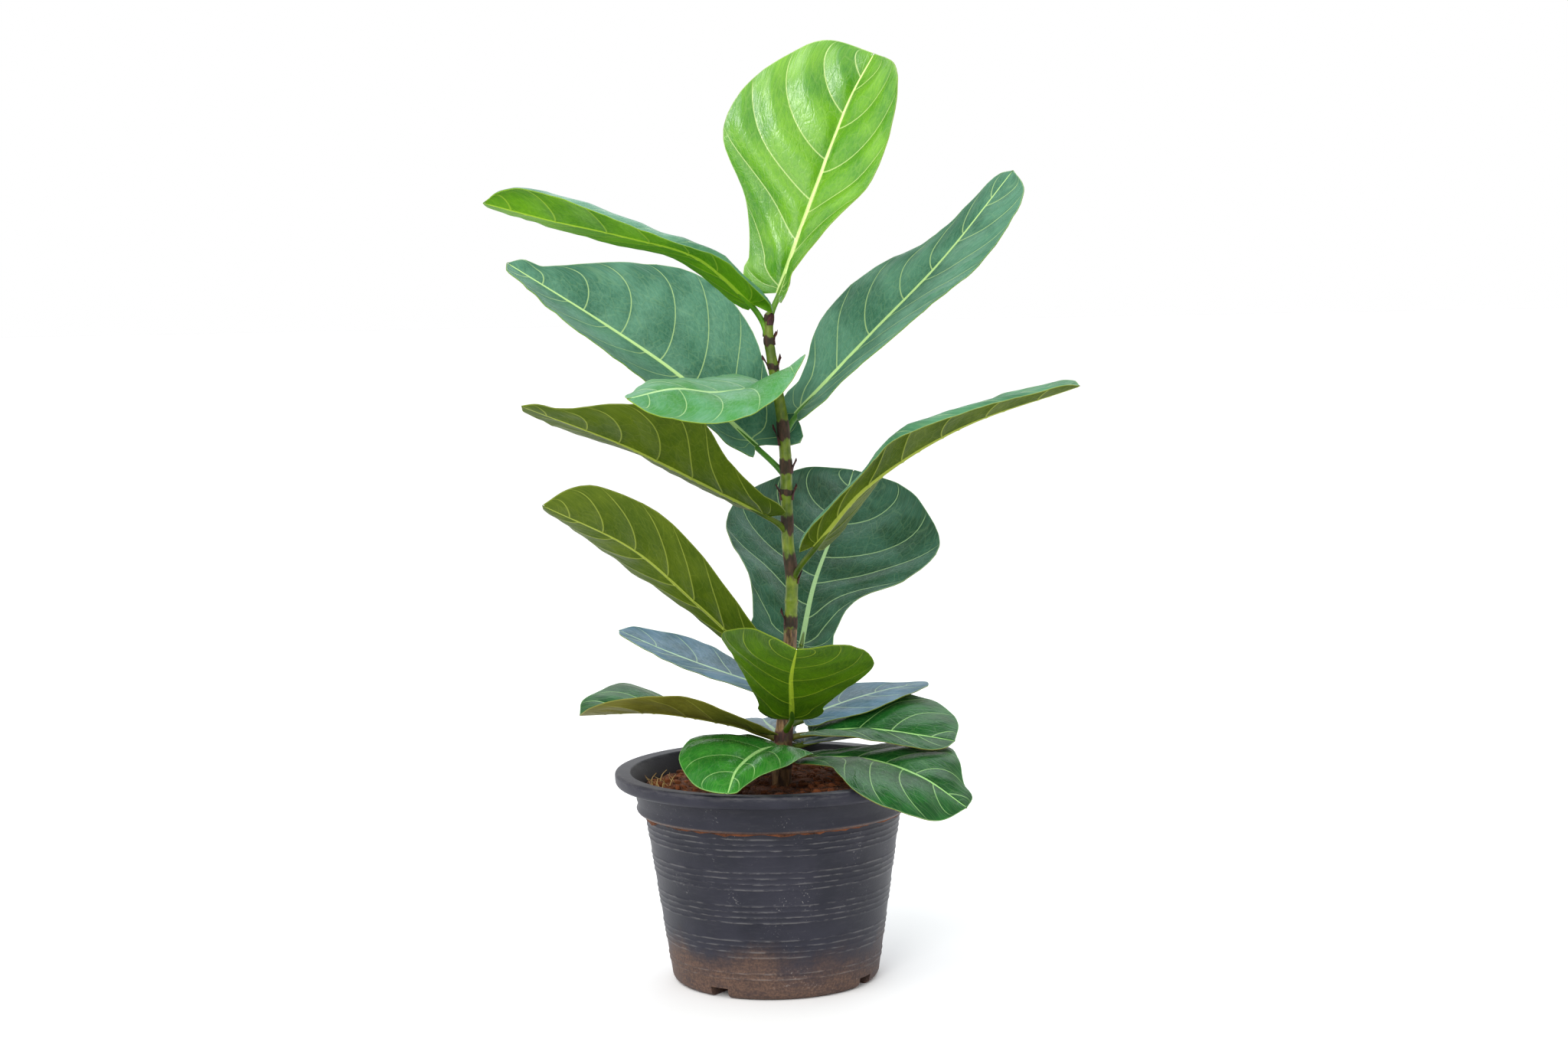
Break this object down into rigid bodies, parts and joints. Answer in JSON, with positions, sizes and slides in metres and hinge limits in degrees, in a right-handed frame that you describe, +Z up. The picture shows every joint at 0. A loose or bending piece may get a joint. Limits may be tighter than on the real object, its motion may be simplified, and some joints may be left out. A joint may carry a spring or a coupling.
{
  "type": "potted fiddle leaf fig",
  "caption": "Young fiddle leaf fig with broad waxy leaves on one upright stem, growing in a round tapered nursery pot of coconut husk.",
  "frame": {"origin": "middle of the pot's flat base, on the surface it stands on", "axes": "+Z up along the pot's axis; -Y is the front, +X to the right as seen from the front"},
  "size_m": [0.5355, 0.4622, 0.8979],
  "materials": {
    "pot_plastic": "satin",
    "coir": "rough",
    "bark": "satin",
    "leaf": "waxy gloss above, satin below",
    "stipule": "matte"
  },
  "bodies": {
    "root": {"pot": "pot_plastic", "soil": "coir", "stem": "bark", "leaf_01": "leaf", "leaf_02": "leaf", "leaf_03": "leaf", "leaf_04": "leaf", "leaf_05": "leaf", "leaf_06": "leaf", "leaf_07": "leaf", "leaf_08": "leaf", "leaf_09": "leaf", "leaf_10": "leaf", "leaf_11": "leaf", "leaf_12": "leaf", "leaf_13": "leaf", "leaf_14": "leaf", "leaf_15": "leaf", "leaf_16": "leaf", "leaf_17": "leaf", "leaf_18": "leaf", "stipule_1": "stipule", "stipule_2": "stipule", "stipule_3": "stipule", "stipule_4": "stipule", "stipule_5": "stipule", "stipule_6": "stipule", "stipule_7": "stipule", "stipule_8": "stipule", "stipule_9": "stipule", "stipule_10": "stipule", "stipule_11": "stipule", "stipule_12": "stipule", "husk_chip_1": "coir", "husk_chip_2": "coir", "husk_chip_3": "coir", "husk_chip_4": "coir", "husk_chip_5": "coir"}
  },
  "joints": []
}
